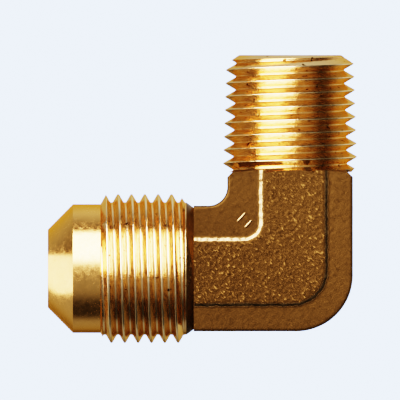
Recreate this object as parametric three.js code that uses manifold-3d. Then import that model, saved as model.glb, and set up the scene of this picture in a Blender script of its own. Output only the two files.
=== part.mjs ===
// A 90 degree flare elbow, forged and machined from one piece of brass. One arm ends in a 45 degree flare
// seat with a 5/8-18 UNF thread for 3/8 in tube, the other in a 1/4-18 NPT taper pipe thread.
// Millimetres. The pipe arm points along +Z, the flare arm along -X, and Y runs across the elbow.
// Every shape is first made round the point where the two arms' axes cross. The last lines move the
// finished body, so that the middle of its underside is the origin.

import * as THREE from 'three';
import { mergeVertices } from 'three/addons/utils/BufferGeometryUtils.js';
import Module from 'manifold-3d';

const wasm = await Module();
wasm.setup();

// Threads: both ends have 18 threads to the inch, with 60 degree flanks, and are right-handed.
const PITCH = 25.4 / 18;
const FLANK_SLOPE = Math.tan(THREE.MathUtils.degToRad(60));
const TURN_STEPS = 32; // facets round each turned surface, and per turn of thread
const TOOL_CLEAR = 0.3; // how far a thread tool starts and stops beyond the stretch that it cuts
const SWARF_RADIUS = 12; // wider than anything that a thread tool meets
const CORNER_STEPS = 6; // half the facets round each corner of the forging
const ROUND_STEPS = 3; // facets over each rounded edge of the forging
const MERGE_DISTANCE = 1e-4;

// Forged body
const ARM_HALF_WIDTH = 6.65; // in the plane of the elbow
const HEEL_RADIUS = 6.0; // outer corner
const CROTCH_RADIUS = 2.0; // inner corner
const WEB_HALF_THICKNESS = 6.33; // across the elbow, beside the wrench pads
const WEB_EDGE_ROUND = 0.3;
const WEB_END_CHAMFER = 0.78; // on the two corners under the pipe thread
const FLARE_SHOULDER = 10.2; // from the pipe arm's axis to the forging's end at the flare thread
const PIPE_SHOULDER = 10.45; // from the flare arm's axis to the forging's end at the pipe thread

// Wrench pads, one raised on each side. They follow both arms, a little outward of the axes.
const PAD_HALF_THICKNESS = 6.65;
const PAD_HALF_WIDTH = 3.68; // at the foot of the pad's walls
const PAD_OUTWARD = 0.38;
const PAD_HEEL_RADIUS = 3.9;
const PAD_CROTCH_RADIUS = 1.6;
const PAD_ROUND_WIDTH = 0.5; // the rounded wall, seen square to the pad

// Flare end. Each reach is measured along the arm from the pipe arm's axis.
const NOSE_REACH = 25.64;
const NOSE_RADIUS = 4.13;
const LAND_RADIUS = 6.82;
const SEAT_REACH = NOSE_REACH - (LAND_RADIUS - NOSE_RADIUS); // the seat is a 45 degree cone
const FLARE_THREAD_REACH = 20.06;
const FLARE_LEAD = 0.6; // length of the chamfer at the start of the thread
const FLARE_MAJOR_RADIUS = 7.87;
const FLARE_MINOR_RADIUS = 7.02;
const FLARE_ROOT_FLAT = PITCH / 6;
const FLARE_CREST_REACH = 18.19; // a crest on the upper side of the arm lies here
const FLARE_FULL_REACH = 11.7; // the thread has its full diameter down to here
const FLARE_NECK_RADIUS = 7.0; // narrow plain neck between the thread and the forging
const FLARE_NECK_REACH = 11.1;
const FLARE_NECK_FOOT = 10.95; // from here the neck falls away to the forging
const FLARE_FOOT_RADIUS = 6.45; // of the neck, where it meets the forging

// Pipe end. Each height is measured up the arm from the flare arm's axis.
const FACE_HEIGHT = 22.6;
const FACE_RADIUS = 5.42;
const PIPE_LEAD_HEIGHT = 21.65; // foot of the lead chamfer
const PIPE_CREST_RADIUS = 6.74; // at the face
const PIPE_TAPER = 1 / 32; // growth of the radius, 1 in 16 on the diameter
const PIPE_THREAD_DEPTH = 1.06;
const PIPE_ROOT_FLAT = 0.094;
const PIPE_CREST_HEIGHT = 20.295; // a crest on the elbow's outer side lies here
const PIPE_FULL_HEIGHT = 10.95; // the blank has its full diameter down to here
const PIPE_RUNOUT_HEIGHT = 10.3; // the groove grows shallow from here
const PIPE_RUNOUT_SLOPE = 1.3;
const PIPE_CUT_FOOT = 9.5; // the tool has left the metal here
const PIPE_CORNER_DROP = 0.2; // fall of the forging's cut corners, for each millimetre out from the neck
const PIPE_NECK_RADIUS = 6.72; // of the blank, where it meets the forging
const PIPE_FOOT_HEIGHT = 10.2; // the blank reaches this far down into the forging
const PIPE_FOOT_RADIUS = 6.5;

// Bores: 9/32 in, drilled from both ends until they meet
const BORE_RADIUS = 3.57;
const BORE_OVERRUN = 1.2; // full diameter past the other arm's axis
const DRILL_POINT_LENGTH = BORE_RADIUS / Math.tan(THREE.MathUtils.degToRad(59));

/** A closed geometry as a solid that can be joined and cut. */
function solid(geometry) {
  geometry.deleteAttribute('normal');
  geometry.deleteAttribute('uv');
  const merged = mergeVertices(geometry, MERGE_DISTANCE);
  return new wasm.Manifold(new wasm.Mesh({
    numProp: 3,
    vertProperties: new Float32Array(merged.attributes.position.array),
    triVerts: new Uint32Array(merged.index.array),
  }));
}

/** A geometry from coordinates and from triples of point numbers. */
function indexed(positions, triangles) {
  const geometry = new THREE.BufferGeometry();
  geometry.setAttribute('position', new THREE.Float32BufferAttribute(positions, 3));
  return geometry.setIndex([...triangles]);
}

/** Turns a geometry made along +Z to lie along the flare arm, with its +X side up. */
function alongFlareArm(geometry) {
  return geometry.rotateY(-Math.PI / 2);
}

/** A solid of revolution about Z through [radius, z] points, which start and end on the axis. */
function turned(points) {
  const profile = points.map(([radius, z]) => new THREE.Vector2(radius, z));
  return new THREE.LatheGeometry(profile, TURN_STEPS).rotateX(Math.PI / 2);
}

/** The outline of an L-shaped slab in the elbow's plane, moved in from its edges by inset. */
function elbowOutline(shape, inset) {
  const { halfWidth, shift, heelRadius, crotchRadius, flareReach, pipeReach, endChamfer } = shape;
  const inner = halfWidth - shift - inset;
  const outer = halfWidth + shift - inset;
  const heel = heelRadius - inset;
  const crotch = crotchRadius + inset;
  const outline = new THREE.Path();
  outline.moveTo(-flareReach, -outer);
  outline.lineTo(outer - heel, -outer);
  outline.absarc(outer - heel, heel - outer, heel, -Math.PI / 2, 0, false);
  outline.lineTo(outer, pipeReach - endChamfer);
  if (endChamfer) outline.lineTo(outer - endChamfer, pipeReach);
  outline.lineTo(-inner + endChamfer, pipeReach);
  if (endChamfer) outline.lineTo(-inner, pipeReach - endChamfer);
  outline.absarc(-inner - crotch, inner + crotch, crotch, 0, -Math.PI / 2, true);
  outline.lineTo(-flareReach, inner);
  return outline.getPoints(CORNER_STEPS);
}

/** An L-shaped slab centred on the elbow's plane, with its long edges rounded over. */
function slab(shape) {
  const { halfThickness, roundWidth, roundHeight } = shape;
  const positions = [];
  const triangles = [];

  function addRing(side, step) {
    const turn = (Math.PI / 2) * step / ROUND_STEPS;
    const across = side * (halfThickness - roundHeight * (1 - Math.sin(turn)));
    const outline = elbowOutline(shape, roundWidth * (1 - Math.cos(turn)));
    outline.forEach(({ x, y }) => positions.push(x, across, y));
    return outline;
  }

  for (let step = ROUND_STEPS; step > 0; step -= 1) addRing(-1, step);
  addRing(-1, 0);
  for (let step = 0; step < ROUND_STEPS; step += 1) addRing(1, step);
  const outline = addRing(1, ROUND_STEPS);

  const count = outline.length;
  const last = positions.length / 3 - count;
  for (let ring = 0; ring < last; ring += count) {
    for (let i = 0; i < count; i += 1) {
      const next = (i + 1) % count;
      const [a, b, c, d] = [ring + i, ring + next, ring + count + next, ring + count + i];
      triangles.push(a, d, c, a, c, b);
    }
  }
  THREE.ShapeUtils.triangulateShape(outline, []).forEach(([a, b, c]) => {
    triangles.push(a, b, c, last + a, last + c, last + b);
  });
  return solid(indexed(positions, triangles));
}

/** The forging: an L-shaped web with a raised wrench pad on each side. */
function forging() {
  const web = slab({
    halfWidth: ARM_HALF_WIDTH,
    shift: 0,
    heelRadius: HEEL_RADIUS,
    crotchRadius: CROTCH_RADIUS,
    flareReach: FLARE_SHOULDER,
    pipeReach: PIPE_SHOULDER,
    endChamfer: WEB_END_CHAMFER,
    halfThickness: WEB_HALF_THICKNESS,
    roundWidth: WEB_EDGE_ROUND,
    roundHeight: WEB_EDGE_ROUND,
  });
  const pads = slab({
    halfWidth: PAD_HALF_WIDTH,
    shift: PAD_OUTWARD,
    heelRadius: PAD_HEEL_RADIUS,
    crotchRadius: PAD_CROTCH_RADIUS,
    flareReach: FLARE_SHOULDER,
    pipeReach: PIPE_SHOULDER,
    endChamfer: 0,
    halfThickness: PAD_HALF_THICKNESS,
    roundWidth: PAD_ROUND_WIDTH,
    roundHeight: PAD_HALF_THICKNESS - WEB_HALF_THICKNESS,
  });
  return web.add(pads);
}

/** The flare arm as it is turned before threading: nose, seat, land, thread blank and neck. */
function flareBlank() {
  return solid(alongFlareArm(turned([
    [0, FLARE_SHOULDER],
    [FLARE_FOOT_RADIUS, FLARE_SHOULDER],
    [FLARE_NECK_RADIUS, FLARE_NECK_FOOT],
    [FLARE_NECK_RADIUS, FLARE_NECK_REACH],
    [FLARE_MAJOR_RADIUS, FLARE_FULL_REACH],
    [FLARE_MAJOR_RADIUS, FLARE_THREAD_REACH - FLARE_LEAD],
    [LAND_RADIUS, FLARE_THREAD_REACH],
    [LAND_RADIUS, SEAT_REACH],
    [NOSE_RADIUS, NOSE_REACH],
    [0, NOSE_REACH],
  ])));
}

/** The radius of the pipe thread's crests at a height. The blank has it too. */
function pipeCrestRadius(height) {
  return PIPE_CREST_RADIUS + (FACE_HEIGHT - height) * PIPE_TAPER;
}

/** The pipe arm as it is turned before threading: a short neck, the taper and its lead chamfer. */
function pipeBlank() {
  return solid(turned([
    [0, PIPE_FOOT_HEIGHT],
    [PIPE_FOOT_RADIUS, PIPE_FOOT_HEIGHT],
    [PIPE_NECK_RADIUS, PIPE_SHOULDER],
    [pipeCrestRadius(PIPE_FULL_HEIGHT), PIPE_FULL_HEIGHT],
    [pipeCrestRadius(PIPE_LEAD_HEIGHT), PIPE_LEAD_HEIGHT],
    [FACE_RADIUS, FACE_HEIGHT],
    [0, FACE_HEIGHT],
  ]));
}

/**
 * The form that a thread tool leaves round Z from low to high, as one closed helical surface.
 * crest is the height of a crest on the +X side, and rootRadius gives the groove's radius at a height.
 */
function threadForm({ low, high, crest, rootFlat, rootRadius }) {
  const halfFlat = rootFlat / PITCH / 2;
  const ridge = (PITCH - rootFlat) / 2 * FLANK_SLOPE;
  const section = [[0, ridge], [0.5 - halfFlat, 0], [0.5 + halfFlat, 0]]; // [share of the pitch, rise]
  const start = crest - PITCH * Math.ceil((crest - low) / PITCH + 1);
  const steps = TURN_STEPS * Math.ceil((high - start) / PITCH);
  const positions = [];
  const triangles = [];

  function addPoint(step, [share, rise]) {
    const angle = 2 * Math.PI * step / TURN_STEPS;
    const height = start + PITCH * (step / TURN_STEPS + share);
    const radius = rootRadius(height) + rise;
    positions.push(radius * Math.cos(angle), radius * Math.sin(angle), height);
  }

  // Past the last whole section, one more turn of crest points closes the section below it
  function pointIndex(step, place) {
    if (place === section.length) return pointIndex(step + TURN_STEPS, 0);
    const beyond = step - steps;
    return beyond > 0 ? (steps + 1) * section.length + beyond - 1 : step * section.length + place;
  }

  function addCap(height, loop) {
    const middle = positions.length / 3;
    positions.push(0, 0, height);
    loop.forEach((point, i) => triangles.push(middle, point, loop[(i + 1) % loop.length]));
  }

  for (let step = 0; step <= steps; step += 1) {
    section.forEach((place) => addPoint(step, place));
  }
  for (let step = steps + 1; step <= steps + TURN_STEPS; step += 1) addPoint(step, section[0]);
  for (let step = 0; step < steps; step += 1) {
    for (let place = 0; place < section.length; place += 1) {
      const [a, b] = [pointIndex(step, place), pointIndex(step + 1, place)];
      const [c, d] = [pointIndex(step + 1, place + 1), pointIndex(step, place + 1)];
      triangles.push(a, b, c, a, c, d);
    }
  }
  const turn = [...Array(TURN_STEPS).keys()];
  const places = [...section.keys()];
  const lowLoop = [
    ...places.map((place) => pointIndex(0, place)),
    ...turn.map((step) => pointIndex(TURN_STEPS - step, 0)),
  ];
  const highLoop = [
    ...turn.map((step) => pointIndex(steps + step, 0)),
    ...places.map((place) => pointIndex(steps, section.length - place)),
  ];
  addCap(start, lowLoop);
  addCap(start + PITCH * (steps / TURN_STEPS + 1), highLoop);

  return indexed(positions, triangles);
}

/** Cuts a thread out of all that the tool sweeps. place moves a geometry made along +Z onto its arm. */
function cutThread(shape, thread, swept, place) {
  const swarf = solid(place(turned(swept))).subtract(solid(place(threadForm(thread))));
  return shape.subtract(swarf);
}

const flareThread = {
  low: FLARE_NECK_REACH,
  high: FLARE_THREAD_REACH + TOOL_CLEAR,
  crest: FLARE_CREST_REACH,
  rootFlat: FLARE_ROOT_FLAT,
  rootRadius: () => FLARE_MINOR_RADIUS,
};

const pipeThread = {
  low: PIPE_CUT_FOOT,
  high: FACE_HEIGHT + TOOL_CLEAR,
  crest: PIPE_CREST_HEIGHT,
  rootFlat: PIPE_ROOT_FLAT,
  rootRadius: (height) => (
    pipeCrestRadius(height) - PIPE_THREAD_DEPTH
      + Math.max(0, PIPE_RUNOUT_HEIGHT - height) * PIPE_RUNOUT_SLOPE
  ),
};

/** The outline that the flare thread's tool sweeps round its arm. */
function flareSwept({ low, high }) {
  return [[0, low], [SWARF_RADIUS, low], [SWARF_RADIUS, high], [0, high]];
}

/** The same for the pipe thread, whose tool reaches below the shoulder but clears the forging's corners. */
function pipeSwept({ low, high }) {
  const clearRadius = pipeCrestRadius(low);
  const cornerRadius = Math.hypot(ARM_HALF_WIDTH, WEB_HALF_THICKNESS) + TOOL_CLEAR;
  const cornerHeight = PIPE_SHOULDER - (cornerRadius - clearRadius) * PIPE_CORNER_DROP;
  return [
    [0, low],
    [clearRadius, low],
    [clearRadius, PIPE_SHOULDER],
    [cornerRadius, cornerHeight],
    [SWARF_RADIUS, cornerHeight],
    [SWARF_RADIUS, high],
    [0, high],
  ];
}

/** A drilled bore along Z from an arm's end, with the drill's point past the other arm's axis. */
function bore(reach) {
  return turned([
    [0, -BORE_OVERRUN - DRILL_POINT_LENGTH],
    [BORE_RADIUS, -BORE_OVERRUN],
    [BORE_RADIUS, reach + TOOL_CLEAR],
    [0, reach + TOOL_CLEAR],
  ]);
}

function elbow() {
  const inPlace = (geometry) => geometry;
  const blank = forging().add(flareBlank()).add(pipeBlank());
  const flareCut = cutThread(blank, flareThread, flareSwept(flareThread), alongFlareArm);
  const threaded = cutThread(flareCut, pipeThread, pipeSwept(pipeThread), inPlace);
  return threaded
    .subtract(solid(alongFlareArm(bore(NOSE_REACH))))
    .subtract(solid(bore(FACE_HEIGHT)));
}

const brass = new THREE.MeshStandardMaterial({ color: 0xc08a3e, roughness: 0.3, metalness: 1 });
const { vertProperties, triVerts } = elbow().getMesh();
const body = new THREE.Mesh(indexed(vertProperties, triVerts), brass);
body.name = 'elbow_body';
body.geometry.computeBoundingBox();
const { min, max } = body.geometry.boundingBox;
body.position.set(-(min.x + max.x) / 2, -(min.y + max.y) / 2, -min.z);

const fitting = new THREE.Group();
fitting.add(body);

export default fitting;
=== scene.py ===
import math

import bpy
from mathutils import Matrix, Vector, noise


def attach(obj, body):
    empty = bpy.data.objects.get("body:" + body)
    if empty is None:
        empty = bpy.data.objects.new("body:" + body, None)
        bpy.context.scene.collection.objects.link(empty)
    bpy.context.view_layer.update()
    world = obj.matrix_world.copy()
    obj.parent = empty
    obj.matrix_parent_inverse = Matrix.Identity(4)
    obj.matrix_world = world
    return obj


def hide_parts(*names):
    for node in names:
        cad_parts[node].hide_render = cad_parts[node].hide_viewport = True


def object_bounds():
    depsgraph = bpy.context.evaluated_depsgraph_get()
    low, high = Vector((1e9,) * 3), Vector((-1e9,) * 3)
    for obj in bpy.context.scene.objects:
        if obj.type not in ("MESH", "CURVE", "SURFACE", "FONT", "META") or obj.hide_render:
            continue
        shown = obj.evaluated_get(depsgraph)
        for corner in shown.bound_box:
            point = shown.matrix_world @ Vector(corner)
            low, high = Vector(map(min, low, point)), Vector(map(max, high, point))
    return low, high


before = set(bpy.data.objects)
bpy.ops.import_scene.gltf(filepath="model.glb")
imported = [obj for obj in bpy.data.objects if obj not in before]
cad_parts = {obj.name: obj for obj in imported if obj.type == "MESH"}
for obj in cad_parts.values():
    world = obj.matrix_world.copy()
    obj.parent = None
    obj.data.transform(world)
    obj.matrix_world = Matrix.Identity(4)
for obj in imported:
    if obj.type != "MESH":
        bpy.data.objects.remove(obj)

CAD_LOW, CAD_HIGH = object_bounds()

# Shapes are made in millimetres round the point where the two arms' axes cross, and place() moves
# them into the frame at the end. +Z is along the pipe arm, -X along the flare arm.
MM = 0.001

# Threads, 18 to the inch at both ends
PITCH = 25.4 / 18
FLANK_SLOPE = math.tan(math.radians(60))
TURN_STEPS = 160
TOOL_CLEAR = 0.3
SWARF_RADIUS = 12.0
BLANK_SPARE = 0.02  # the thread blanks are this much proud of the crests
# the crests' brighter strip is worn metal with a painted highlight
CREST_WEAR_AND_HIGHLIGHT_DEPTH = 0.1  # depth of the brighter strip along each thread's crest
FLARE_ROUNDING = 0.1  # of crests and roots
PIPE_ROUNDING = 0.08
EDGE_BREAK = 0.03  # the flare end's turned edges are broken by about this much
SHARP_ANGLE = 32  # degrees: edges that turn further are shaded sharp

# Forged body
ARM_HALF_WIDTH = 6.65
HEEL_RADIUS = 6.0
CROTCH_RADIUS = 2.0
WEB_EDGE_RADIUS = 0.2
WEB_END_CHAMFER = 0.78  # on the two corners under the pipe thread
CHAMFER_CLEAR = 1.2  # how far the cut that makes them runs on past them
DRAFT = 0.05  # the web's sides lean in by this much from the parting line to its edges
PARTING_HALF_WIDTH = 0.1
EDGE_STEPS = 8
PIPE_SHOULDER = 10.45
FORGING_SPARE = 1.0  # the forging is made this much longer, then cut off at its shoulders
GRAIN_SPACING = 0.11  # between the points of the forging's surface
GRAIN_KEPT = 0.5  # share of those points that is left after thinning out the flatter ground

# Relief of the blasted skin: waves per millimetre, then heights in millimetres
STREAKS_ALONG = 1.6
STREAKS_ACROSS = 3.2
FINE_WAVES = 3.5
LONG_WAVES = 0.4
PAD_STREAK_HEIGHT = 0.015
WEB_FINE_HEIGHT = 0.01
WEB_STREAK_HEIGHT = 0.006
LONG_WAVE_HEIGHT = 0.012

# Wrench pads: raised L-shaped flats. A wall rises from the web and eases into the flat
PAD_HALF_THICKNESS = 6.65
PAD_HALF_WIDTH = 3.68
PAD_OUTWARD = 0.38
PAD_HEEL_RADIUS = 3.9
PAD_CROTCH_RADIUS = 1.6
PAD_WALL_SLOPE = math.tan(math.radians(33))
PAD_WALL_WIDTH = 0.3
PAD_EASE = 0.1  # over this distance the wall's top eases into the flat
PAD_RAGGEDNESS = 0.08  # how far the edges of the pad's walls wander
RAGGED_SCALE = 2.6  # of that wandering, in waves per millimetre
PAD_RISE = PAD_WALL_SLOPE * (PAD_WALL_WIDTH + PAD_EASE)
WEB_HALF_THICKNESS = PAD_HALF_THICKNESS - PAD_RISE

# Flare end: reach is the distance along the arm from the pipe arm's axis
NOSE_REACH = 25.64
NOSE_RADIUS = 4.13
LAND_RADIUS = 6.82
SEAT_REACH = NOSE_REACH - (LAND_RADIUS - NOSE_RADIUS)
FLARE_THREAD_REACH = 20.06
FLARE_LEAD = 0.6
FLARE_MAJOR_RADIUS = 7.87
FLARE_MINOR_RADIUS = 7.02
FLARE_CREST_FLAT = PITCH / 8
FLARE_ROOT_FLAT = PITCH / 6
FLARE_CREST_REACH = 18.19
FLARE_FULL_REACH = 11.7
FLARE_NECK_RADIUS = 7.0  # narrow plain neck between the thread and the forging
FLARE_NECK_REACH = 11.1
FLARE_NECK_FOOT = 10.95
FLARE_FOOT_RADIUS = 6.45
FLARE_SHOULDER = 10.2

# Pipe end: height is the distance up the arm from the flare arm's axis
FACE_HEIGHT = 22.6
FACE_RADIUS = 5.42
FACE_EDGE_DROP = 0.04
FACE_EDGE_WIDTH = 0.06
PIPE_LEAD_HEIGHT = 21.65
PIPE_CREST_RADIUS = 6.74
PIPE_TAPER = 1 / 32
PIPE_THREAD_DEPTH = 1.06
PIPE_CREST_FLAT = 0.094
PIPE_ROOT_FLAT = 0.094
PIPE_CREST_HEIGHT = 20.295
PIPE_FULL_HEIGHT = 10.95
PIPE_RUNOUT_HEIGHT = 10.3
PIPE_RUNOUT_SLOPE = 1.3
PIPE_CUT_FOOT = 9.5
PIPE_CORNER_DROP = 0.2  # how far the shoulder slopes down for each millimetre out from the neck
PIPE_NECK_RADIUS = 6.72
PIPE_FOOT_HEIGHT = 10.2
PIPE_FOOT_RADIUS = 6.5

# Bores
BORE_RADIUS = 3.57
BORE_EDGE = 0.12
BORE_OVERRUN = 1.2
DRILL_POINT_LENGTH = BORE_RADIUS / math.tan(math.radians(59))

# Two short raised strokes near the crotch: (radius round the crotch's centre, angle, half-angle)
MARKS = (4.76, 42.7, 8.5), (5.78, 42.9, 6.0)
MARK_GIRTH = 0.17
MARK_PROUD = 0.03

# Colours. Each pair is the duller and the brighter end of a surface's variation; on the forging
# skin part of that variation is painted light
SKIN_COLOURS = (0.0215, 0.0138, 0.0058, 1), (0.0385, 0.0247, 0.0104, 1)
SPECKLE_COLOUR = (0.085, 0.054, 0.022, 1)
BRIGHT_GRAIN_COLOUR = (0.17, 0.108, 0.044, 1)
BLOTCH_COLOUR = (0.008, 0.005, 0.002, 1)
WORN_WALL_COLOUR = (0.36, 0.25, 0.14, 1)
SKIN_METALLIC = 0.35  # oxide and blasting leave the skin only partly metallic
SEAT_COLOURS = (0.86, 0.50, 0.19, 1), (0.92, 0.57, 0.25, 1)
THREAD_COLOURS = (0.78, 0.59, 0.36, 1), (0.86, 0.67, 0.43, 1)
# near-white crest colour: worn metal with a painted highlight
WORN_CREST_HIGHLIGHT_COLOUR = (0.95, 0.8, 0.55, 1)
GRIME_COLOUR = (0.5, 0.28, 0.09, 1)
PIT_COLOUR = (0.06, 0.03, 0.01, 1)
BORE_COLOURS = (0.6, 0.38, 0.14, 1), (0.78, 0.52, 0.22, 1)
REFLECTION_TINT = (0.85, 0.55, 0.25, 1)
FLOOR_COLOUR = (0.86, 0.88, 0.9, 1)
SEAT_ROUGHNESS = 0.16, 0.28
THREAD_ROUGHNESS = 0.14, 0.26

# The camera's frame, from the point where the arms' axes cross
VIEW_WIDTH = 42.32
VIEW_CENTRE = Vector((-9.53, 0.0, 7.25))
CAMERA_DISTANCE = 300.0

# The key light is a broad warm one above and to the left of the camera. Angles are in degrees
KEY_STRENGTH = 13.5
KEY_TINT = (1.0, 0.77, 0.6, 1)
KEY_RISE = 2.0, 26.0  # of the larger of the angles above and to the left of the camera
KEY_FOOT = -12.0, -2.0  # of the smaller one
KEY_END = 70.0, 65.5

# The shade is made of dim panels: (direction from the elbow, inner angle, outer angle, strength)
SHADE_STRENGTH = 0.68
SHADE_TINT = (1.0, 0.95, 0.84, 1)
AMBIENT = 0.07
FRONT_PANEL = (0, -1, 0), 25, 69, 0.37
BEHIND_PANEL = (0, 1, 0.09), 15, 95, 1.0
BEHIND_FOOT = -0.6, 0.2  # the panel behind fades out below
BEHIND_LEFT = 0.15, 0.7, 1.0, 0.75  # and is a little dimmer on the left
SMALL_PANELS = (
    ((0, 0.26, 0.97), 5, 30, 0.3),
    ((0, 0.57, -0.82), 8, 32, 0.4),
    ((-0.8, 0.38, -0.48), 12, 42, 0.45),
    ((0.53, -0.85, 0), 8, 30, 0.22),
    ((0.98, 0.2, 0), 8, 34, 0.2),
    ((0.75, 0.6, -0.1), 15, 42, 0.42),
)
BACKDROP_COLOUR = (0.45, 0.6, 1.0, 1)
BACKDROP_STRENGTH = 3.4

# A card of light beside the nose, in millimetres from the point where the arms' axes cross
CARD_PLACE = Vector((-NOSE_REACH - 8.5, -3.5, -1.6))
CARD_WIDTH = 9.0
CARD_HEIGHT = 10.4
CARD_RADIANCE = 3.6

FLOOR_HALF_WIDTH = 1.0  # metres
FLOOR_ROUGHNESS = 0.9

# Where that point is in the frame, and the turn from Z to the flare arm
AXES_CROSS = Vector((CAD_LOW.x / MM + NOSE_REACH, 0.0, CAD_LOW.z / MM + FLARE_MAJOR_RADIUS))
ALONG_FLARE_ARM = Matrix.Rotation(-math.pi / 2, 4, "Y")


# ---- Mesh helpers

def new_object(name, points, faces):
    mesh = bpy.data.meshes.new(name)
    mesh.from_pydata(points, [], faces)
    mesh.update()
    made = bpy.data.objects.new(name, mesh)
    bpy.context.scene.collection.objects.link(made)
    return made


def bake_modifiers(piece):
    """Replaces the piece's mesh by what its modifiers make of it."""
    graph = bpy.context.evaluated_depsgraph_get()
    result = bpy.data.meshes.new_from_object(piece.evaluated_get(graph))
    before = piece.data
    piece.modifiers.clear()
    piece.data = result
    bpy.data.meshes.remove(before)


def combine(first, operation, second):
    """Joins, cuts or intersects first with second, and removes second."""
    modifier = first.modifiers.new("combine", "BOOLEAN")
    modifier.operation = operation
    modifier.solver = "MANIFOLD"
    modifier.object = second
    bake_modifiers(first)
    spent = second.data
    bpy.data.objects.remove(second)
    bpy.data.meshes.remove(spent)
    return first


def turned(name, profile):
    """A solid of revolution about Z through (radius, z) points, which start and end on the axis."""
    points = [(0.0, 0.0, profile[0][1])]
    rim = profile[1:-1]
    for radius, z in rim:
        for step in range(TURN_STEPS):
            angle = 2 * math.pi * step / TURN_STEPS
            points.append((radius * math.cos(angle), radius * math.sin(angle), z))
    points.append((0.0, 0.0, profile[-1][1]))
    faces = []
    top = len(points) - 1
    for step in range(TURN_STEPS):
        after = (step + 1) % TURN_STEPS
        faces.append((0, 1 + after, 1 + step))
        faces.append((top, top - TURN_STEPS + step, top - TURN_STEPS + after))
        for ring in range(len(rim) - 1):
            low = 1 + ring * TURN_STEPS
            high = low + TURN_STEPS
            faces.append((low + step, low + after, high + after, high + step))
    return new_object(name, points, faces)


def smooth_least(a, b, blend):
    """The lesser of two values, rounded where they are within blend of each other."""
    share = max(blend - abs(a - b), 0.0) / blend
    return min(a, b) - share * share * blend / 4


def thread_section(crest_flat, root_flat, rounding):
    """One pitch of thread as (share of the pitch, rise over the root), from crest to crest."""
    depth = (PITCH - crest_flat - root_flat) / 2 * FLANK_SLOPE
    flank_start = crest_flat / 2
    flank_end = (PITCH - root_flat) / 2
    round_width = rounding / FLANK_SLOPE
    half = [0.0, flank_start - round_width / 2, flank_start, flank_start + round_width / 2,
            flank_start + round_width * 1.5, flank_end - round_width * 1.5,
            flank_end - round_width / 2, flank_end, flank_end + round_width / 2, PITCH / 2]
    half = sorted(place for place in half if 0 <= place <= PITCH / 2)

    def rise(place):
        flank = (flank_end - place) * FLANK_SLOPE
        over_root = -smooth_least(-flank, 0.0, rounding)
        return smooth_least(over_root, depth, rounding)

    section = [(place / PITCH, rise(place)) for place in half]
    return section + [(1 - share, height) for share, height in reversed(section[1:-1])]


def thread_form(name, low, high, crest, section, root_radius):
    """What a thread tool leaves round Z from low to high, as one closed helical surface."""
    start = crest - PITCH * math.ceil((crest - low) / PITCH + 1)
    steps = TURN_STEPS * math.ceil((high - start) / PITCH)
    count = len(section)
    points = []
    faces = []

    def add_point(step, place):
        share, rise = place
        angle = 2 * math.pi * step / TURN_STEPS
        z = start + PITCH * (step / TURN_STEPS + share)
        radius = root_radius(z) + rise
        points.append((radius * math.cos(angle), radius * math.sin(angle), z))

    def index(step, place):
        if place == count:
            step, place = step + TURN_STEPS, 0
        beyond = step - steps
        return (steps + 1) * count + beyond - 1 if beyond > 0 else step * count + place

    def add_cap(z, loop):
        middle = len(points)
        points.append((0.0, 0.0, z))
        for here, after in zip(loop, loop[1:] + loop[:1]):
            faces.append((middle, here, after))

    for step in range(steps + 1):
        for place in section:
            add_point(step, place)
    for step in range(steps + 1, steps + TURN_STEPS + 1):
        add_point(step, section[0])
    for step in range(steps):
        for place in range(count):
            faces.append((index(step, place), index(step + 1, place),
                          index(step + 1, place + 1), index(step, place + 1)))
    low_loop = [index(0, place) for place in range(count)]
    low_loop += [index(TURN_STEPS - step, 0) for step in range(TURN_STEPS)]
    high_loop = [index(steps + step, 0) for step in range(TURN_STEPS)]
    high_loop += [index(steps, count - place) for place in range(count)]
    add_cap(start, low_loop)
    add_cap(start + PITCH * (steps / TURN_STEPS + 1), high_loop)
    return new_object(name, points, faces)


def cut_thread(blank, swept_profile, form, turn=None):
    """Cuts away everything outside the thread form that lies in the swept profile round its arm."""
    swept = turned("swept", swept_profile)
    combine(swept, "DIFFERENCE", form)
    if turn:
        swept.data.transform(turn)
    return combine(blank, "DIFFERENCE", swept)


# ---- The forging

def arc(centre_x, centre_z, radius, start, end, steps=24):
    for step in range(steps + 1):
        angle = math.radians(start + (end - start) * step / steps)
        yield centre_x + radius * math.cos(angle), centre_z + radius * math.sin(angle)


def web_outline(inset):
    """The elbow's outline in its own plane, moved in from its edges by inset."""
    half_width = ARM_HALF_WIDTH - inset
    heel = HEEL_RADIUS - inset
    crotch = CROTCH_RADIUS + inset
    flare_arm_end = -FLARE_SHOULDER - FORGING_SPARE
    pipe_arm_end = PIPE_SHOULDER + FORGING_SPARE
    return [
        (flare_arm_end, -half_width),
        *arc(half_width - heel, heel - half_width, heel, -90, 0),
        (half_width, pipe_arm_end),
        (-half_width, pipe_arm_end),
        *arc(-half_width - crotch, half_width + crotch, crotch, 0, -90),
        (flare_arm_end, half_width),
    ]


def web_section():
    """(inset, distance from the middle plane): a slight draft out from the middle, then an edge."""
    section = [(0.0, PARTING_HALF_WIDTH)]
    for step in range(EDGE_STEPS + 1):
        turn = math.radians(90 * step / EDGE_STEPS)
        section.append((DRAFT + WEB_EDGE_RADIUS * (1 - math.cos(turn)),
                        WEB_HALF_THICKNESS - WEB_EDGE_RADIUS * (1 - math.sin(turn))))
    return section


def web():
    """The flat-sided elbow without its pads."""
    half = web_section()
    section = [(inset, -across) for inset, across in reversed(half)] + half
    points = []
    for inset, across in section:
        points += [(x, across, z) for x, z in web_outline(inset)]
    count = len(points) // len(section)
    last = len(points) - count
    faces = [tuple(range(count)), tuple(reversed(range(last, last + count)))]
    for ring in range(0, last, count):
        for here in range(count):
            after = (here + 1) % count
            faces.append((ring + here, ring + count + here, ring + count + after, ring + after))
    return new_object("elbow", points, faces)


def past_corner(x, z, radius):
    """How far a point lies outside the quarter plane x < 0, z > 0 with a rounded corner."""
    right = x + radius
    below = radius - z
    outside = math.hypot(max(right, 0.0), max(below, 0.0))
    return outside + min(max(right, below), 0.0) - radius


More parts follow.
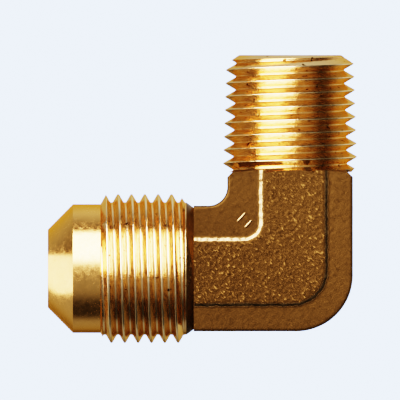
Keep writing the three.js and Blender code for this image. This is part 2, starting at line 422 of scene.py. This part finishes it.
def pad_depth(x, z):
    """How far a point of the web's side lies inside the pad's foot."""
    inner = PAD_HALF_WIDTH - PAD_OUTWARD
    toward_painted_light = PAD_HALF_WIDTH + PAD_OUTWARD
    inside_heel = -past_corner(x - toward_painted_light, z + toward_painted_light, PAD_HEEL_RADIUS)
    outside_crotch = past_corner(x + inner, z - inner, PAD_CROTCH_RADIUS)
    return min(inside_heel, outside_crotch)


def pad_rise(depth):
    """The pad's height over the web: a straight wall, then an ever gentler slope to the flat."""
    wall = min(max(depth, 0.0), PAD_WALL_WIDTH)
    beyond = max(depth - PAD_WALL_WIDTH, 0.0)
    return PAD_WALL_SLOPE * (wall + PAD_EASE * (1 - math.exp(-beyond / PAD_EASE)))


def grain_height(point, depth):
    """The blasted skin's relief: short diagonal streaks on the pads, finer elsewhere."""
    along = (point.x + point.z) * math.sqrt(0.5)
    across = (point.x - point.z) * math.sqrt(0.5)
    side = 10 if point.y > 0 else 0
    streaked = Vector((along * STREAKS_ALONG, side, across * STREAKS_ACROSS))
    coarse = noise.noise(streaked) + 0.5 * noise.noise(streaked * 2)
    fine = noise.noise(point * FINE_WAVES)
    wave = noise.noise(point * LONG_WAVES)
    on_flat = min(max((depth - PAD_WALL_WIDTH - 0.1) / 0.3, 0.0), 1.0)
    on_web = 1.0 if depth < -0.05 else 0.0
    on_pad_height = on_flat * PAD_STREAK_HEIGHT * coarse
    on_web_height = on_web * (WEB_FINE_HEIGHT * fine + WEB_STREAK_HEIGHT * coarse)
    return on_pad_height + on_web_height + LONG_WAVE_HEIGHT * wave


def shape_sides(body):
    """Raises the pads on the web's two sides, then gives the whole skin its grain."""
    side_start = WEB_HALF_THICKNESS - 0.03
    depths = []
    for vertex in body.data.vertices:
        on_side = abs(vertex.co.y) > side_start
        ragged = PAD_RAGGEDNESS * noise.noise(vertex.co * RAGGED_SCALE)
        depth = pad_depth(vertex.co.x, vertex.co.z) + ragged if on_side else -1.0
        vertex.co.y += math.copysign(pad_rise(depth), vertex.co.y)
        depths.append(depth)
    body.data.update()
    normals = [vertex.normal.copy() for vertex in body.data.vertices]
    for vertex, normal, depth in zip(body.data.vertices, normals, depths):
        vertex.co += normal * grain_height(vertex.co, depth)


def trim():
    """The forging's room: square at the flare arm, with cut corners under the pipe thread."""
    far = 60.0
    corner = ARM_HALF_WIDTH - WEB_END_CHAMFER
    beside = corner + CHAMFER_CLEAR
    below = PIPE_SHOULDER - CHAMFER_CLEAR
    outline = [(-FLARE_SHOULDER, -far), (far, -far), (far, below), (beside, below),
               (corner, PIPE_SHOULDER), (-corner, PIPE_SHOULDER), (-beside, below),
               (-FLARE_SHOULDER, below)]
    count = len(outline)
    points = [(x, y, z) for y in (-far, far) for x, z in outline]
    faces = [tuple(range(count)), tuple(reversed(range(count, 2 * count)))]
    for here in range(count):
        after = (here + 1) % count
        faces.append((here, count + here, count + after, after))
    return new_object("trim", points, faces)


def forged_body():
    body = web()
    remesh = body.modifiers.new("even", "REMESH")
    remesh.mode = "VOXEL"
    remesh.voxel_size = GRAIN_SPACING
    bake_modifiers(body)
    shape_sides(body)
    thin = body.modifiers.new("thin", "DECIMATE")
    thin.ratio = GRAIN_KEPT
    bake_modifiers(body)
    return combine(body, "INTERSECT", trim())


def forging_mark(radius, middle, half_angle):
    """A small raised crescent on the web beside the crotch, concentric with the crotch's corner."""
    centre = Vector((-ARM_HALF_WIDTH - CROTCH_RADIUS, 0, ARM_HALF_WIDTH + CROTCH_RADIUS))
    steps, sides = 20, 12
    points = []
    for step in range(1, steps):
        angle = math.radians(middle + half_angle * (2 * step / steps - 1))
        outward = Vector((math.cos(angle), 0, -math.sin(angle)))
        girth = MARK_GIRTH * math.sqrt(math.sin(math.pi * step / steps))
        spot = centre + outward * radius + Vector((0, -WEB_HALF_THICKNESS + MARK_PROUD, 0))
        for side in range(sides):
            turn = 2 * math.pi * side / sides
            around = outward * math.cos(turn) + Vector((0, math.sin(turn), 0))
            points.append(spot + girth * around)
    faces = [tuple(range(sides)), tuple(reversed(range(len(points) - sides, len(points))))]
    for ring in range(0, len(points) - sides, sides):
        for here in range(sides):
            after = (here + 1) % sides
            faces.append((ring + here, ring + sides + here, ring + sides + after, ring + after))
    return new_object("mark", points, faces)


# ---- The turned ends

def flare_end():
    """The flare end before its thread is cut, as (radius, reach) from the forging out."""
    blank_radius = FLARE_MAJOR_RADIUS + BLANK_SPARE
    return [
        (0, FLARE_SHOULDER - FORGING_SPARE),
        (FLARE_FOOT_RADIUS - 0.5, FLARE_SHOULDER - FORGING_SPARE),
        (FLARE_FOOT_RADIUS, FLARE_SHOULDER),
        (FLARE_NECK_RADIUS - 0.02, FLARE_NECK_FOOT - EDGE_BREAK),
        (FLARE_NECK_RADIUS, FLARE_NECK_FOOT + EDGE_BREAK),
        (FLARE_NECK_RADIUS, FLARE_NECK_REACH),
        (blank_radius, FLARE_FULL_REACH),
        (blank_radius, FLARE_THREAD_REACH - FLARE_LEAD),
        (LAND_RADIUS, FLARE_THREAD_REACH),
        (LAND_RADIUS, SEAT_REACH + EDGE_BREAK),
        (LAND_RADIUS - EDGE_BREAK, SEAT_REACH + 2 * EDGE_BREAK),
        (NOSE_RADIUS + EDGE_BREAK, NOSE_REACH - EDGE_BREAK),
        (NOSE_RADIUS - EDGE_BREAK, NOSE_REACH),
        (0, NOSE_REACH),
    ]


def pipe_crest_radius(height):
    return PIPE_CREST_RADIUS + (FACE_HEIGHT - height) * PIPE_TAPER


def pipe_end():
    """The pipe end before its thread is cut, as (radius, height) from the forging up."""
    return [
        (0, PIPE_FOOT_HEIGHT),
        (PIPE_FOOT_RADIUS, PIPE_FOOT_HEIGHT),
        (PIPE_NECK_RADIUS, PIPE_SHOULDER),
        (pipe_crest_radius(PIPE_FULL_HEIGHT) + BLANK_SPARE, PIPE_FULL_HEIGHT),
        (pipe_crest_radius(PIPE_LEAD_HEIGHT) + BLANK_SPARE, PIPE_LEAD_HEIGHT),
        (FACE_RADIUS + FACE_EDGE_DROP, FACE_HEIGHT - FACE_EDGE_DROP),
        (FACE_RADIUS - FACE_EDGE_WIDTH, FACE_HEIGHT),
        (0, FACE_HEIGHT),
    ]


def pipe_root_radius(height):
    shallow = max(0.0, PIPE_RUNOUT_HEIGHT - height) * PIPE_RUNOUT_SLOPE
    return pipe_crest_radius(height) - PIPE_THREAD_DEPTH + shallow


def pipe_swept_profile(high):
    """The threading die reaches below the shoulder round the neck, but clears the web's corners."""
    clear_radius = pipe_crest_radius(PIPE_CUT_FOOT)
    corner_radius = math.hypot(ARM_HALF_WIDTH, WEB_HALF_THICKNESS) + 1
    corner_height = PIPE_SHOULDER - (corner_radius - clear_radius) * PIPE_CORNER_DROP
    return [
        (0, PIPE_CUT_FOOT),
        (clear_radius - 0.05, PIPE_CUT_FOOT),
        (clear_radius, PIPE_SHOULDER),
        (corner_radius, corner_height),
        (SWARF_RADIUS, corner_height),
        (SWARF_RADIUS, high),
        (0, high),
    ]


def bore(name, reach):
    """What the drill takes out of an arm, up along Z: its point, its hole and a small chamfer."""
    mouth = BORE_RADIUS + BORE_EDGE
    return turned(name, [
        (0, -BORE_OVERRUN - DRILL_POINT_LENGTH),
        (BORE_RADIUS, -BORE_OVERRUN),
        (BORE_RADIUS, reach - BORE_EDGE),
        (mouth, reach),
        (mouth + TOOL_CLEAR, reach + TOOL_CLEAR),
        (0, reach + TOOL_CLEAR),
    ])


def make_elbow():
    body = forged_body()
    for mark in MARKS:
        combine(body, "UNION", forging_mark(*mark))

    flare = turned("flare_end", flare_end())
    flare.data.transform(ALONG_FLARE_ARM)
    combine(body, "UNION", flare)
    combine(body, "UNION", turned("pipe_end", pipe_end()))

    flare_section = thread_section(FLARE_CREST_FLAT, FLARE_ROOT_FLAT, FLARE_ROUNDING)
    flare_high = FLARE_THREAD_REACH + TOOL_CLEAR
    flare_form = thread_form("flare_form", FLARE_NECK_REACH, flare_high, FLARE_CREST_REACH,
                             flare_section, lambda reach: FLARE_MINOR_RADIUS)
    flare_swept = [(0, FLARE_NECK_REACH), (SWARF_RADIUS, FLARE_NECK_REACH),
                   (SWARF_RADIUS, flare_high), (0, flare_high)]
    cut_thread(body, flare_swept, flare_form, ALONG_FLARE_ARM)

    pipe_section = thread_section(PIPE_CREST_FLAT, PIPE_ROOT_FLAT, PIPE_ROUNDING)
    pipe_high = FACE_HEIGHT + TOOL_CLEAR
    pipe_form = thread_form("pipe_form", PIPE_CUT_FOOT, pipe_high, PIPE_CREST_HEIGHT,
                            pipe_section, pipe_root_radius)
    cut_thread(body, pipe_swept_profile(pipe_high), pipe_form)

    flare_bore = bore("flare_bore", NOSE_REACH)
    flare_bore.data.transform(ALONG_FLARE_ARM)
    combine(body, "DIFFERENCE", flare_bore)
    combine(body, "DIFFERENCE", bore("pipe_bore", FACE_HEIGHT))
    body.name = "flare_elbow"
    return body


FORGED, TURNED, FLARE_THREAD, PIPE_THREAD, BORED = range(5)


def surface_kind(point):
    """Which finish the surface has at a point in millimetres."""
    from_pipe_axis = math.hypot(point.x, point.y)
    from_flare_axis = math.hypot(point.y, point.z)
    near_bore = BORE_RADIUS + 0.02
    bore_end = BORE_OVERRUN + DRILL_POINT_LENGTH + 0.05
    in_pipe_bore = from_pipe_axis < near_bore and -bore_end < point.z < FACE_HEIGHT - BORE_EDGE
    in_flare_bore = from_flare_axis < near_bore and BORE_EDGE - NOSE_REACH < point.x < bore_end
    if in_pipe_bore or in_flare_bore:
        return BORED
    if point.x < -FLARE_THREAD_REACH + 0.05:
        return TURNED
    if point.x < -FLARE_NECK_FOOT:
        return FLARE_THREAD
    in_cut = point.z > PIPE_CUT_FOOT + 0.1 and from_pipe_axis < PIPE_NECK_RADIUS - 0.1
    beside_pad = abs(point.x) > PAD_HALF_WIDTH + 1
    if point.z > PIPE_SHOULDER - 0.01 or in_cut and beside_pad:
        return PIPE_THREAD
    return FORGED


def finish_surface(body, materials):
    """Gives each face its material, and keeps the turned edges sharp in the shading."""
    body.data.materials.clear()
    for material in materials:
        body.data.materials.append(material)
    for face in body.data.polygons:
        face.material_index = surface_kind(face.center)
    body.data.shade_smooth()
    body.data.set_sharp_from_angle(angle=math.radians(SHARP_ANGLE))


def place(piece):
    """Moves a piece from millimetres round the crossing axes into the frame's metres."""
    piece.data.transform(Matrix.Scale(MM, 4) @ Matrix.Translation(AXES_CROSS))


# ---- Materials

class Shader:
    """A small helper that adds nodes and links them."""

    def __init__(self, name):
        self.material = bpy.data.materials.new(name)
        self.material.use_nodes = True
        self.tree = self.material.node_tree
        self.surface = self.tree.nodes["Principled BSDF"]

    def add(self, kind, inputs=(), **settings):
        node = self.tree.nodes.new(kind)
        for key, value in settings.items():
            setattr(node, key, value)
        for socket, value in dict(inputs).items():
            self.feed(node.inputs[socket], value)
        return node

    def feed(self, socket, value):
        if isinstance(value, bpy.types.NodeSocket):
            self.tree.links.new(value, socket)
        else:
            socket.default_value = value

    def maths(self, operation, a, b=0.0):
        return self.add("ShaderNodeMath", {0: a, 1: b}, operation=operation).outputs[0]

    def ramp(self, value, low, high, to_low=0.0, to_high=1.0):
        node = self.add("ShaderNodeMapRange", {"Value": value}, interpolation_type="SMOOTHSTEP")
        for socket, number in zip(("From Min", "From Max", "To Min", "To Max"),
                                  (low, high, to_low, to_high)):
            self.feed(node.inputs[socket], number)
        return node.outputs["Result"]

    def mix(self, share, first, second):
        node = self.add("ShaderNodeMix", data_type="RGBA")
        self.feed(node.inputs[0], share)
        self.feed(node.inputs[6], first)
        self.feed(node.inputs[7], second)
        return node.outputs[2]

    def place_mm(self, scale=(1, 1, 1), turn=(0, 0, 0)):
        """Object coordinates in millimetres, turned, then stretched."""
        spot = self.add("ShaderNodeTexCoord").outputs["Object"]
        turned_spot = self.add("ShaderNodeVectorRotate", {"Vector": spot, "Rotation": turn},
                               rotation_type="EULER_XYZ").outputs[0]
        stretch = [part / MM for part in scale]
        return self.add("ShaderNodeVectorMath", {0: turned_spot, 1: stretch},
                        operation="MULTIPLY").outputs[0]

    def noise(self, vector, scale, detail=2.0, roughness=0.5):
        node = self.add("ShaderNodeTexNoise", {"Vector": vector, "Scale": scale,
                                               "Detail": detail, "Roughness": roughness})
        return node.outputs["Fac"]

    def bump(self, height, distance_mm, strength=1.0, normal=None):
        inputs = {"Height": height, "Distance": distance_mm * MM, "Strength": strength}
        if normal is not None:
            inputs["Normal"] = normal
        return self.add("ShaderNodeBump", inputs).outputs["Normal"]


def metal(name):
    shader = Shader(name)
    shader.surface.inputs["Metallic"].default_value = 1.0
    shader.surface.inputs["Specular Tint"].default_value = REFLECTION_TINT
    return shader


def pad_masks(s, along, out):
    """Masks for the pads' flats and for the walls round them."""
    wall_foot = WEB_HALF_THICKNESS + 0.02
    wall_top = PAD_HALF_THICKNESS - 0.02
    on_pad = s.ramp(out, wall_top - 0.03, wall_top)
    on_wall = s.maths("SUBTRACT", s.ramp(out, wall_foot, wall_foot + 0.04), on_pad)
    on_forging = s.ramp(along, -FLARE_SHOULDER, 0.1 - FLARE_SHOULDER)
    return on_pad, s.maths("MULTIPLY", on_wall, on_forging)


def forged_brass():
    """Blasted forging skin: dull brown oxide with bright metal showing on the grains' tops, and
    painted light that makes it lighter towards the heel and the pipe end.
    """
    s = metal("forged_brass")
    level = s.place_mm()
    streaks = s.place_mm(scale=(1.0, 1.0, 0.5), turn=(0, math.radians(45), 0))
    parts = s.add("ShaderNodeSeparateXYZ", {0: level}).outputs
    along = s.maths("SUBTRACT", parts["X"], AXES_CROSS.x)
    on_pad, on_wall = pad_masks(s, along, s.maths("ABSOLUTE", parts["Y"]))
    coarse = s.noise(streaks, 5.0, 3.0, 0.55)
    fine = s.noise(level, 9.0, 3.0, 0.6)
    patches = s.noise(level, 0.5, 3.0)
    up = s.maths("SUBTRACT", parts["Z"], AXES_CROSS.z)
    # painted light: the skin is lighter towards the heel and the pipe end and darker towards the
    # flare end and the bottom, with random patches on top, and a little darker on the pads
    toward_painted_light = s.maths("ADD", s.maths("MULTIPLY", along, 0.6), s.maths("MULTIPLY", up, 0.8))
    painted_light_and_tone = s.maths("ADD", s.ramp(toward_painted_light, -10.0, 10.0, 0.0, 0.85), s.maths("MULTIPLY", patches, 0.3))
    painted_light_and_tone = s.maths("SUBTRACT", painted_light_and_tone, s.maths("MULTIPLY", on_pad, 0.25))
    skin = s.mix(painted_light_and_tone, *SKIN_COLOURS)
    speckled = s.mix(s.ramp(fine, 0.5, 0.75, 0.0, 0.4), skin, SPECKLE_COLOUR)
    bright_grain = s.maths("MULTIPLY", s.ramp(coarse, 0.58, 0.72), on_pad)
    colour = s.mix(bright_grain, speckled, BRIGHT_GRAIN_COLOUR)
    blotches = s.noise(streaks, 2.2, 4.0, 0.65)
    colour = s.mix(s.ramp(blotches, 0.5, 0.32, 0.0, 0.45), colour, BLOTCH_COLOUR)
    s.feed(s.surface.inputs["Base Color"], s.mix(on_wall, colour, WORN_WALL_COLOUR))
    s.feed(s.surface.inputs["Metallic"], s.ramp(on_wall, 0.0, 1.0, SKIN_METALLIC, 1.0))
    rough = s.ramp(fine, 0.3, 0.7, 0.36, 0.28)
    smoothed = s.maths("SUBTRACT", rough, s.maths("MULTIPLY", on_wall, 0.12))
    s.feed(s.surface.inputs["Roughness"], smoothed)
    first = s.bump(fine, 0.016)
    pad_grain = s.maths("MULTIPLY", coarse, on_pad)
    s.feed(s.surface.inputs["Normal"], s.bump(pad_grain, 0.06, normal=first))
    return s.material


def crest_height(s, level, axis):
    """How far a point of a thread lies above its crests' foot, in millimetres."""
    spot = s.add("ShaderNodeVectorMath", {0: level, 1: AXES_CROSS}, operation="SUBTRACT").outputs[0]
    flat = tuple(0.0 if part == axis else 1.0 for part in "XYZ")
    outward = s.add("ShaderNodeVectorMath", {0: spot, 1: flat}, operation="MULTIPLY").outputs[0]
    radius = s.add("ShaderNodeVectorMath", {0: outward}, operation="LENGTH").outputs["Value"]
    if axis == "X":
        return s.maths("SUBTRACT", radius, FLARE_MAJOR_RADIUS - CREST_WEAR_AND_HIGHLIGHT_DEPTH)
    height = s.add("ShaderNodeSeparateXYZ", {0: spot}).outputs["Z"]
    taper = s.maths("MULTIPLY", s.maths("SUBTRACT", FACE_HEIGHT, height), PIPE_TAPER)
    return s.maths("SUBTRACT", radius, s.maths("ADD", taper, PIPE_CREST_RADIUS - CREST_WEAR_AND_HIGHLIGHT_DEPTH))


def turned_brass(name, axis, dull, bright, rough, threaded=False):
    """Bright brass with a turning tool's fine rings, and on a thread also pits and worn crests with
    a painted highlight.
    """
    s = metal(name)
    level = s.place_mm()
    rings = s.place_mm(scale=tuple(1.0 if part == axis else 0.06 for part in "XYZ"))
    ring_noise = s.noise(rings, 9.0, 2.0, 0.6)
    scuffs = s.noise(level, 2.2, 4.0, 0.6)
    patches = s.noise(level, 0.45, 2.0)
    colour = s.mix(patches, dull, bright)
    grime = s.ramp(scuffs, 0.62, 0.8, 0.0, 0.35)
    colour = s.mix(grime, colour, GRIME_COLOUR)
    if threaded:
        pits = s.ramp(s.noise(level, 2.4, 0.0), 0.77, 0.8)
        colour = s.mix(pits, colour, PIT_COLOUR)
        nicks = s.noise(level, 3.4, 3.0, 0.7)
        over = s.maths("ADD", crest_height(s, level, axis), s.maths("MULTIPLY", nicks, 0.2))
        # worn crests with a painted highlight: a near-white colour along every crest
        colour = s.mix(s.ramp(over, 0.14, 0.2), colour, WORN_CREST_HIGHLIGHT_COLOUR)
    s.feed(s.surface.inputs["Base Color"], colour)
    s.feed(s.surface.inputs["Roughness"], s.ramp(scuffs, 0.3, 0.7, *rough))
    first = s.bump(ring_noise, 0.004)
    scuff_depth = 0.02 if threaded else 0.004
    s.feed(s.surface.inputs["Normal"], s.bump(scuffs, scuff_depth, normal=first))
    return s.material


def bored_brass():
    """The drilled bores: brass with drag marks from the drill."""
    s = metal("bored_brass")
    level = s.place_mm()
    marks = s.noise(level, 6.0, 3.0)
    s.feed(s.surface.inputs["Base Color"], s.mix(marks, *BORE_COLOURS))
    s.feed(s.surface.inputs["Roughness"], s.ramp(marks, 0.3, 0.7, 0.3, 0.45))
    s.feed(s.surface.inputs["Normal"], s.bump(marks, 0.01))
    return s.material


# ---- Studio

class WorldLight(Shader):
    """The studio's light, as a sky of soft panels seen from the object."""

    def __init__(self):
        world = bpy.data.worlds.new("studio")
        bpy.context.scene.world = world
        world.use_nodes = True
        self.tree = world.node_tree
        self.surface = self.tree.nodes["Background"]
        self.output = self.tree.nodes["World Output"]

    def angle(self, side, front):
        radians = self.maths("ARCTAN2", side, front)
        return self.maths("MULTIPLY", radians, 180 / math.pi)

    def panel(self, direction, inner, toward_painted_light, strength):
        """A round patch of light: full inside the inner angle, and none outside the outer."""
        toward = Vector(direction).normalized()
        cosine = self.add("ShaderNodeVectorMath", {0: self.direction, 1: toward},
                          operation="DOT_PRODUCT").outputs["Value"]
        return self.ramp(cosine, math.cos(math.radians(toward_painted_light)), math.cos(math.radians(inner)),
                         0.0, strength)

    def plus(self, *terms):
        total = terms[0]
        for term in terms[1:]:
            total = self.maths("ADD", total, term)
        return total


def studio_light():
    """Key and shade light the elbow, and the camera sees a plain pale backdrop instead of them."""
    w = WorldLight()
    w.direction = w.add("ShaderNodeTexCoord").outputs["Generated"]
    parts = w.add("ShaderNodeSeparateXYZ", {0: w.direction}).outputs
    left = w.maths("MULTIPLY", parts["X"], -1.0)
    front = w.maths("MULTIPLY", parts["Y"], -1.0)
    up_angle = w.angle(parts["Z"], front)
    left_angle = w.angle(left, front)

    higher = w.maths("MAXIMUM", up_angle, left_angle)
    lower = w.maths("MINIMUM", up_angle, left_angle)
    key = w.maths("MULTIPLY", w.ramp(higher, *KEY_RISE), w.ramp(lower, *KEY_FOOT))
    key = w.maths("MULTIPLY", key, w.ramp(higher, *KEY_END))
    w.feed(w.surface.inputs["Strength"], w.maths("MULTIPLY", key, KEY_STRENGTH))
    w.feed(w.surface.inputs["Color"], KEY_TINT)

    behind = w.maths("MULTIPLY", w.panel(*BEHIND_PANEL), w.ramp(parts["Z"], *BEHIND_FOOT))
    behind = w.maths("MULTIPLY", behind, w.ramp(left, *BEHIND_LEFT))
    small = [w.panel(*panel) for panel in SMALL_PANELS]
    shade = w.plus(AMBIENT, w.panel(*FRONT_PANEL), behind, *small)
    shade = w.maths("MULTIPLY", shade, SHADE_STRENGTH)
    shade_light = w.add("ShaderNodeBackground", {"Color": SHADE_TINT, "Strength": shade})
    both = w.add("ShaderNodeAddShader", {0: w.surface.outputs[0], 1: shade_light.outputs[0]})

    seen = w.add("ShaderNodeBackground", {"Color": BACKDROP_COLOUR,
                                          "Strength": BACKDROP_STRENGTH})
    camera_ray = w.add("ShaderNodeLightPath").outputs["Is Camera Ray"]
    choice = w.add("ShaderNodeMixShader", {0: camera_ray, 1: both.outputs[0],
                                           2: seen.outputs[0]})
    w.tree.links.new(choice.outputs[0], w.output.inputs["Surface"])


def nose_card():
    """A small soft light left of the nose, low enough to reach the seat's front and little else."""
    light = bpy.data.lights.new("nose_card", "AREA")
    light.shape = "RECTANGLE"
    light.size = CARD_WIDTH * MM
    light.size_y = CARD_HEIGHT * MM
    light.color = KEY_TINT[:3]
    light.energy = CARD_RADIANCE * math.pi * light.size * light.size_y
    card = bpy.data.objects.new("nose_card", light)
    bpy.context.scene.collection.objects.link(card)
    card.location = (AXES_CROSS + CARD_PLACE) * MM
    card.rotation_euler = (math.radians(90), 0, math.radians(-90))
    card.visible_camera = False
    card.visible_diffuse = False


def studio_floor():
    half = FLOOR_HALF_WIDTH
    corners = [(-half, -half, 0), (half, -half, 0), (half, half, 0), (-half, half, 0)]
    floor = new_object("studio_floor", corners, [(0, 1, 2, 3)])
    floor.location.z = CAD_LOW.z
    s = Shader("pale_floor")
    s.surface.inputs["Base Color"].default_value = FLOOR_COLOUR
    s.surface.inputs["Roughness"].default_value = FLOOR_ROUGHNESS
    floor.data.materials.append(s.material)
    floor.visible_glossy = False


def studio_camera():
    camera_data = bpy.data.cameras.new("camera")
    camera = bpy.data.objects.new("camera", camera_data)
    bpy.context.scene.collection.objects.link(camera)
    camera_data.type = "ORTHO"
    camera_data.ortho_scale = VIEW_WIDTH * MM
    camera.rotation_euler = (math.radians(90), 0, 0)
    camera.location = (AXES_CROSS + VIEW_CENTRE + Vector((0, -CAMERA_DISTANCE, 0))) * MM
    camera_data.clip_end = 10.0
    bpy.context.scene.camera = camera


def print_contrast():
    """Develops the picture with the strong contrast of a catalogue print."""
    view = bpy.context.scene.view_settings
    view.view_transform = "Filmic"
    view.look = "Very High Contrast"


elbow = make_elbow()
finish_surface(elbow, [
    forged_brass(),
    turned_brass("turned_brass", "X", *SEAT_COLOURS, SEAT_ROUGHNESS),
    turned_brass("flare_thread_brass", "X", *THREAD_COLOURS, THREAD_ROUGHNESS, threaded=True),
    turned_brass("pipe_thread_brass", "Z", *THREAD_COLOURS, THREAD_ROUGHNESS, threaded=True),
    bored_brass(),
])
place(elbow)
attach(elbow, "root")
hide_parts("elbow_body")

studio_light()
nose_card()
studio_floor()
studio_camera()
print_contrast()
